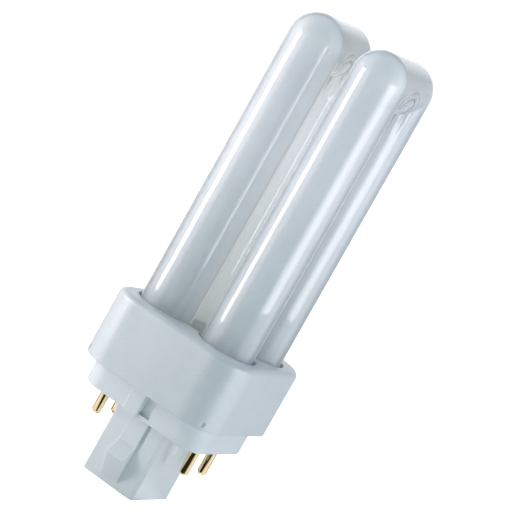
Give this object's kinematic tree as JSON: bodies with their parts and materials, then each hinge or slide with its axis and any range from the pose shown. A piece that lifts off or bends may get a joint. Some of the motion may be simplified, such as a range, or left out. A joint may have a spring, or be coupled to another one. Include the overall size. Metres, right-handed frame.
{
  "type": "four pin compact fluorescent lamp",
  "caption": "Compact fluorescent lamp with two square-bent U tubes of coated glass in a white plastic collar, over a flanged cap with contact pins and a keyed post.",
  "frame": {"origin": "centre of the contact pin pattern, in the seat plane: the flange's underside, which meets the lampholder", "axes": "+Z along the lamp's axis towards the glass tops, X from one pair of pins to the other, -Y towards the front, the side with the recess beside the key rib that the picture shows"},
  "size_m": [0.0334, 0.0334, 0.103],
  "materials": {
    "coated_glass": "glossy clear glass over white phosphor",
    "white_plastic": "satin moulded",
    "cement": "matt",
    "pin_brass": "polished, drawn",
    "lead_wire": "drawn nickel wire"
  },
  "bodies": {
    "root": {"discharge_tube": "coated_glass", "collar": "white_plastic", "bedding_cement": "cement", "base_cap": "white_plastic", "pin_front_left": "pin_brass", "pin_back_left": "pin_brass", "pin_front_right": "pin_brass", "pin_back_right": "pin_brass", "lead_wire_front_left": "lead_wire", "lead_wire_back_left": "lead_wire", "lead_wire_front_right": "lead_wire", "lead_wire_back_right": "lead_wire"}
  },
  "joints": []
}
